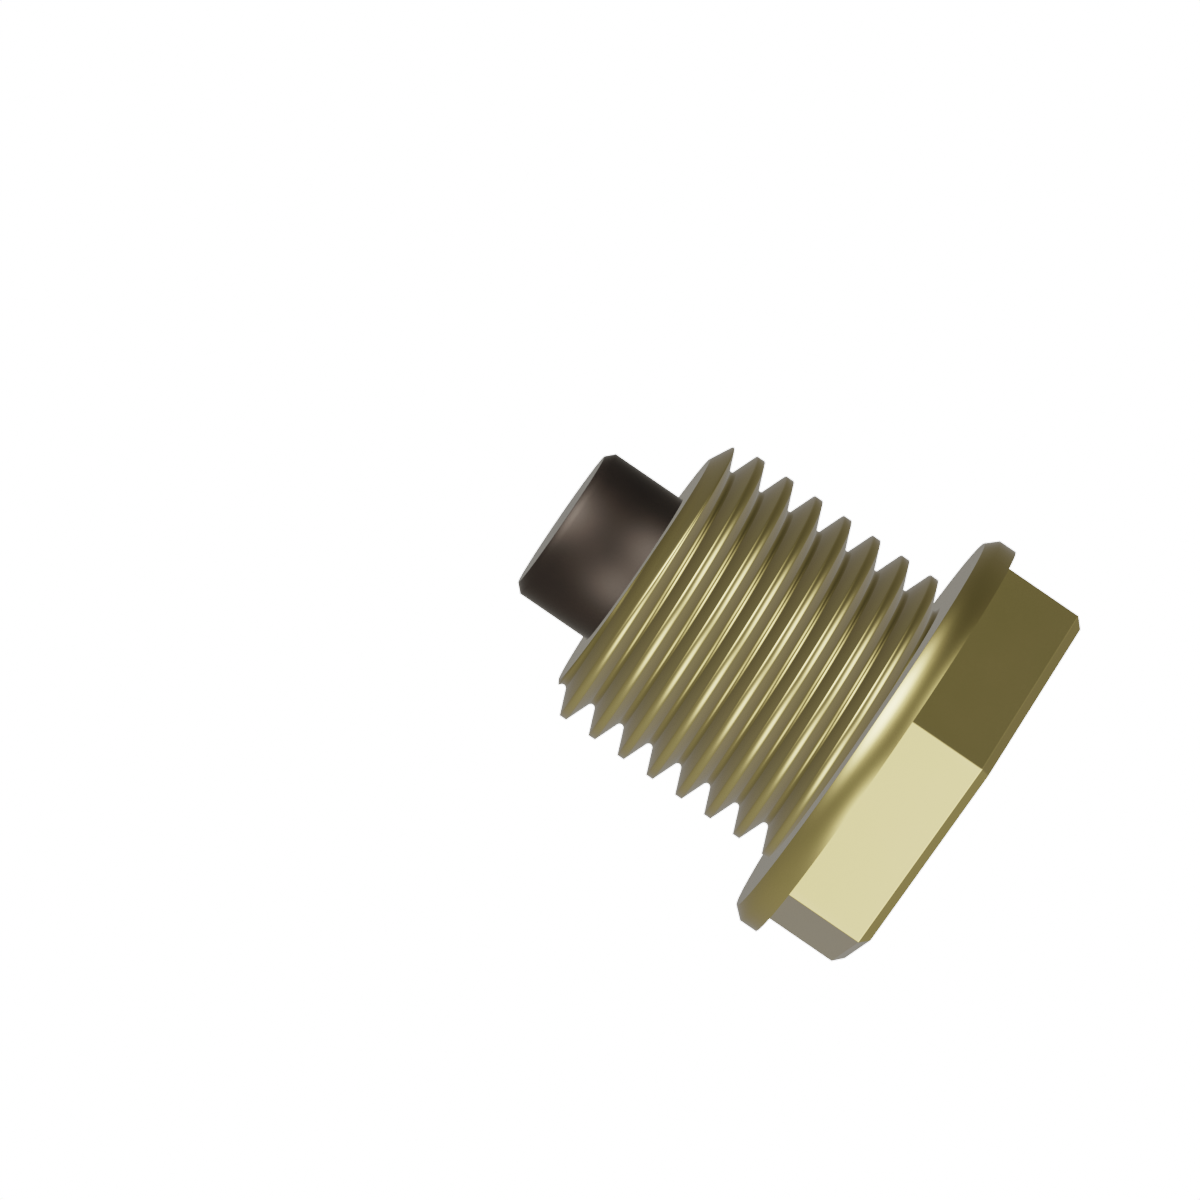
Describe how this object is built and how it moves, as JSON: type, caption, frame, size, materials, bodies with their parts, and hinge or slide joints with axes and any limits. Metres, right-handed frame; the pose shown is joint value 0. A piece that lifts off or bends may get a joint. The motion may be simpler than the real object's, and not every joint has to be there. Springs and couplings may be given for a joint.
{
  "type": "magnetic oil drain plug",
  "caption": "Hexagon-head drain plug with a round sealing flange, a coarse right-hand threaded shank and a chamfered cylindrical magnet standing out of its tip.",
  "frame": {"origin": "centre of the hexagon head's end face, which the plug stands on", "axes": "+Z along the plug's axis from the head to the magnet; +X through a corner of the hexagon; +Y through the middle of a flat"},
  "size_m": [0.0197, 0.0196, 0.0209],
  "materials": {
    "plated_steel": "smooth yellow-olive plating on turned steel, satin to bright",
    "magnet": "dark brown-black sintered magnet with a smooth coating"
  },
  "bodies": {
    "root": {"plug_body": "plated_steel", "magnet": "magnet"}
  },
  "joints": []
}
